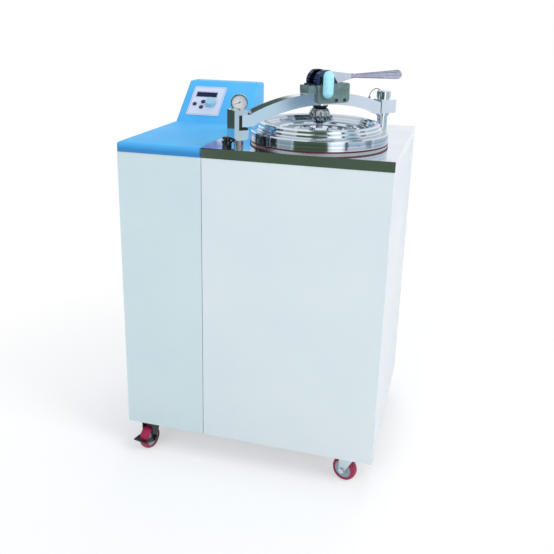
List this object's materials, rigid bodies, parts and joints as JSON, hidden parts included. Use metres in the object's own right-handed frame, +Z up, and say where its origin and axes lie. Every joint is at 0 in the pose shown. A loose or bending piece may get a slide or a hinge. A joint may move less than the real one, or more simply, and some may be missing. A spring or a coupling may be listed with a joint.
{
  "type": "autoclave",
  "caption": "Top-loading autoclave on casters: white cabinet, blue control console, steel lid on a swing arm with a cam lever, and a pressure gauge",
  "frame": {"origin": "on the floor, under the middle of the cabinet", "axes": "+X to the cabinet's right as seen from the front, +Y from front to back, +Z up"},
  "size_m": [0.703, 0.6208, 1.083],
  "materials": {
    "frame_steel": "satin",
    "zinc": "satin",
    "panel_paint": "satin",
    "deck_steel": "satin",
    "console_plastic": "gloss",
    "plate_film": "matte",
    "board": "matte",
    "display": "gloss",
    "button_plastic": "matte",
    "dial_plastic": "gloss",
    "vessel_steel": "satin",
    "heater_steel": "satin",
    "brass": "satin",
    "stem_steel": "satin",
    "gauge_chrome": "gloss",
    "dial_white": "matte",
    "needle_black": "matte",
    "lens_glass": "gloss",
    "valve_dark": "satin",
    "polished_steel": "gloss",
    "arm_steel": "satin",
    "head_steel": "satin",
    "screw_black": "satin",
    "cover_plastic": "gloss",
    "collar_rubber": "matte",
    "knob_chrome": "gloss",
    "lid_steel": "gloss",
    "gasket_rubber": "matte",
    "fork_black": "satin",
    "core_plastic": "matte",
    "tread_red": "matte"
  },
  "bodies": {
    "cabinet": {"base_frame": "frame_steel", "floor_pan": "zinc", "upper_frame": "frame_steel", "front_panel_left": "panel_paint", "front_panel_right": "panel_paint", "side_panel_left": "panel_paint", "side_panel_right": "panel_paint", "rear_panel": "panel_paint", "panel_screws": "zinc", "deck": "deck_steel", "console_cover": "console_plastic", "control_plate": "plate_film", "control_board": "board", "display_window": "display", "vessel": "vessel_steel", "heater_coil": "heater_steel", "chamber_floor": "vessel_steel", "drain_pipe": "brass", "gauge_stem": "stem_steel", "gauge_case": "gauge_chrome", "gauge_dial": "dial_white", "gauge_lens": "lens_glass", "relief_valve": "valve_dark", "catch_block": "polished_steel", "catch_studs": "zinc", "pivot_post": "polished_steel", "caster_plates": "zinc"},
    "needle": {"gauge_needle": "needle_black"},
    "button_a": {"button_left": "button_plastic"},
    "button_b": {"button_upper": "button_plastic"},
    "button_c": {"button_lower": "button_plastic"},
    "dial_knob": {"control_knob": "dial_plastic"},
    "arm": {"swing_arm": "arm_steel", "pivot_cap": "polished_steel", "pin_ring": "polished_steel", "guide_collar": "collar_rubber", "clamp_head": "head_steel", "head_screws": "screw_black"},
    "lever": {"cam_shaft": "polished_steel", "lever_yoke": "arm_steel", "yoke_covers": "cover_plastic", "lever_grip": "polished_steel"},
    "lid_body": {"lid": "lid_steel", "gasket": "gasket_rubber", "spindle": "polished_steel"},
    "hand_knob": {"clamp_knob": "knob_chrome"},
    "fork_fl": {"caster_fork_fl": "fork_black"},
    "wheel_fl": {"caster_core_fl": "core_plastic", "caster_tread_fl": "tread_red"},
    "pedal_fl": {"brake_pedal_fl": "fork_black"},
    "fork_fr": {"caster_fork_fr": "zinc"},
    "wheel_fr": {"caster_core_fr": "core_plastic", "caster_tread_fr": "tread_red"},
    "fork_rl": {"caster_fork_rl": "zinc"},
    "wheel_rl": {"caster_core_rl": "core_plastic", "caster_tread_rl": "tread_red"},
    "fork_rr": {"caster_fork_rr": "zinc"},
    "wheel_rr": {"caster_core_rr": "core_plastic", "caster_tread_rr": "tread_red"}
  },
  "joints": [
    {"name": "arm_swing", "type": "hinge", "parent": "cabinet", "child": "arm", "pos_m": [0.27654, 0.04854, 0.958], "axis": [0, 0, 1], "range_deg": [0, 110]},
    {"name": "lever_turn", "type": "hinge", "parent": "arm", "child": "lever", "pos_m": [0.133, -0.095, 1.054], "axis": [0.7071, -0.7071, 0], "range_deg": [0, 100]},
    {"name": "lid_lift", "type": "slide", "parent": "arm", "child": "lid_body", "axis": [0, 0, 1], "range_m": [0, 0.01]},
    {"name": "hand_knob_turn", "type": "hinge", "parent": "arm", "child": "hand_knob", "pos_m": [0.133, -0.095, 0.968], "axis": [0, 0, 1], "continuous": true},
    {"name": "needle_turn", "type": "hinge", "parent": "cabinet", "child": "needle", "pos_m": [-0.04936, -0.2, 1.0025], "axis": [-0.2588, 0.9659, 0], "range_deg": [0, 225]},
    {"name": "button_a_press", "type": "slide", "parent": "cabinet", "child": "button_a", "axis": [0, 0.6666, -0.7454], "range_m": [0, 0.002], "stiffness_N_per_m": 300},
    {"name": "button_b_press", "type": "slide", "parent": "cabinet", "child": "button_b", "axis": [0, 0.6666, -0.7454], "range_m": [0, 0.002], "stiffness_N_per_m": 300},
    {"name": "button_c_press", "type": "slide", "parent": "cabinet", "child": "button_c", "axis": [0, 0.6666, -0.7454], "range_m": [0, 0.002], "stiffness_N_per_m": 300},
    {"name": "dial_turn", "type": "hinge", "parent": "cabinet", "child": "dial_knob", "pos_m": [-0.25736, 0.1597, 0.94692], "axis": [0, -0.6666, 0.7454], "continuous": true},
    {"name": "swivel_fl", "type": "hinge", "parent": "cabinet", "child": "fork_fl", "pos_m": [-0.292, -0.242, 0.08], "axis": [0, 0, 1], "continuous": true},
    {"name": "roll_fl", "type": "hinge", "parent": "fork_fl", "child": "wheel_fl", "pos_m": [-0.29616, -0.26156, 0.034], "axis": [0.9781, -0.2079, 0], "continuous": true},
    {"name": "brake_fl", "type": "hinge", "parent": "fork_fl", "child": "pedal_fl", "pos_m": [-0.29616, -0.26156, 0.034], "axis": [0.9781, -0.2079, 0], "range_deg": [0, 15]},
    {"name": "swivel_fr", "type": "hinge", "parent": "cabinet", "child": "fork_fr", "pos_m": [0.292, -0.242, 0.08], "axis": [0, 0, 1], "continuous": true},
    {"name": "roll_fr", "type": "hinge", "parent": "fork_fr", "child": "wheel_fr", "pos_m": [0.27333, -0.23483, 0.034], "axis": [-0.3584, -0.9336, 0], "continuous": true},
    {"name": "swivel_rl", "type": "hinge", "parent": "cabinet", "child": "fork_rl", "pos_m": [-0.292, 0.25644, 0.08], "axis": [0, 0, 1], "continuous": true},
    {"name": "roll_rl", "type": "hinge", "parent": "fork_rl", "child": "wheel_rl", "pos_m": [-0.292, 0.27643, 0.034], "axis": [-1, 0, 0], "continuous": true},
    {"name": "swivel_rr", "type": "hinge", "parent": "cabinet", "child": "fork_rr", "pos_m": [0.292, 0.25644, 0.08], "axis": [0, 0, 1], "continuous": true},
    {"name": "roll_rr", "type": "hinge", "parent": "fork_rr", "child": "wheel_rr", "pos_m": [0.292, 0.27643, 0.034], "axis": [-1, 0, 0], "continuous": true}
  ],
  "couplings": [
    {"joint": "lid_lift", "follows": "lever_turn", "m_per_rad": 0.0057296}
  ]
}
